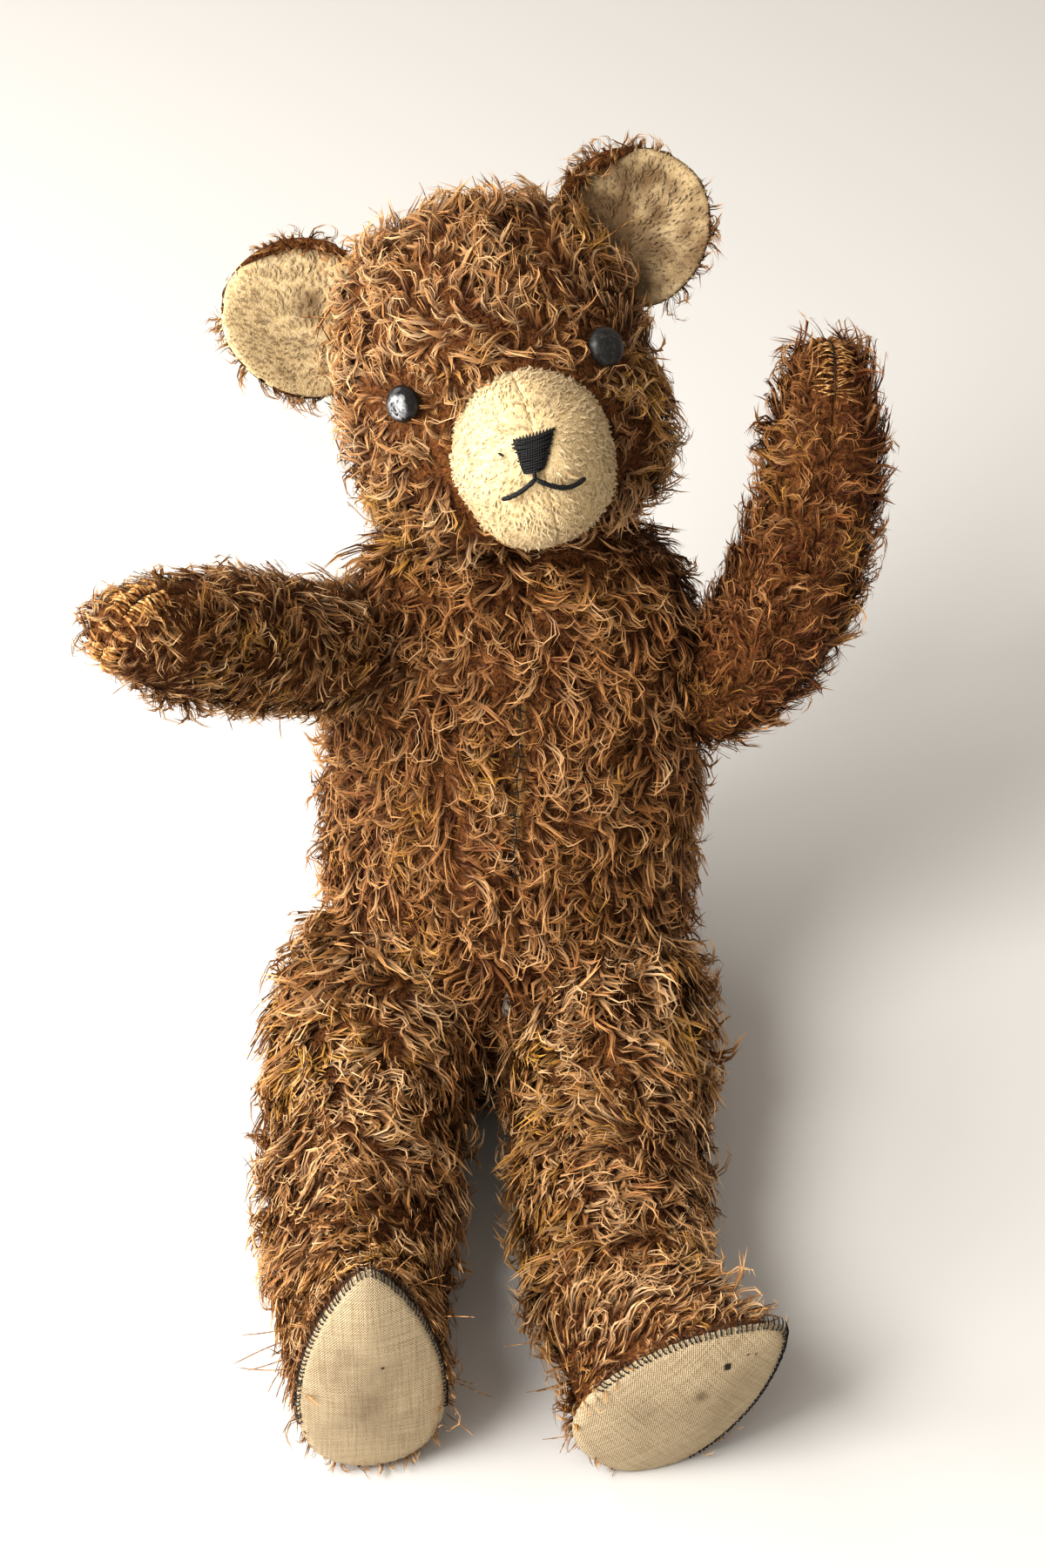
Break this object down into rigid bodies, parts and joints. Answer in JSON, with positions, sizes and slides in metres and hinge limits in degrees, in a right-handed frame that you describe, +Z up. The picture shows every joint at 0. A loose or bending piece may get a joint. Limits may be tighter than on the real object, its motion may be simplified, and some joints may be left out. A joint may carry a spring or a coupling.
{
  "type": "threadbare teddy bear",
  "caption": "Old unjointed brown plush teddy bear, sitting with one arm raised and one foot turned out, worn and matted.",
  "frame": {"origin": "on the flat that the bear sits on, where the middle line of its torso meets it", "axes": "+Z up, the bear faces -Y, and its own left is +X"},
  "size_m": [0.2528, 0.3361, 0.2868],
  "materials": {
    "brown_plush": "matted shaggy plush",
    "cream_plush": "short worn plush",
    "cotton_pad": "plain woven cotton",
    "stuffing": "packed fibre",
    "black_thread": "stitched thread",
    "eye_glass": "glossy, scratched"
  },
  "bodies": {
    "root": {"torso_front_left": "brown_plush", "torso_front_right": "brown_plush", "torso_back": "brown_plush", "torso_stuffing": "stuffing", "head_side_left": "brown_plush", "head_side_right": "brown_plush", "head_gusset": "brown_plush", "head_stuffing": "stuffing", "muzzle_left": "cream_plush", "muzzle_right": "cream_plush", "ear_left_back": "brown_plush", "ear_left_lining": "cream_plush", "ear_right_back": "brown_plush", "ear_right_lining": "cream_plush", "eye_left": "eye_glass", "eye_right": "eye_glass", "nose_stitching": "black_thread", "mouth_stitch_left": "black_thread", "mouth_stitch_right": "black_thread", "arm_left_outer": "brown_plush", "arm_left_inner": "brown_plush", "arm_left_stuffing": "stuffing", "arm_right_outer": "brown_plush", "arm_right_inner": "brown_plush", "arm_right_stuffing": "stuffing", "leg_left_outer": "brown_plush", "leg_left_inner": "brown_plush", "leg_left_stuffing": "stuffing", "foot_pad_left": "cotton_pad", "leg_right_outer": "brown_plush", "leg_right_inner": "brown_plush", "leg_right_stuffing": "stuffing", "foot_pad_right": "cotton_pad"}
  },
  "joints": []
}
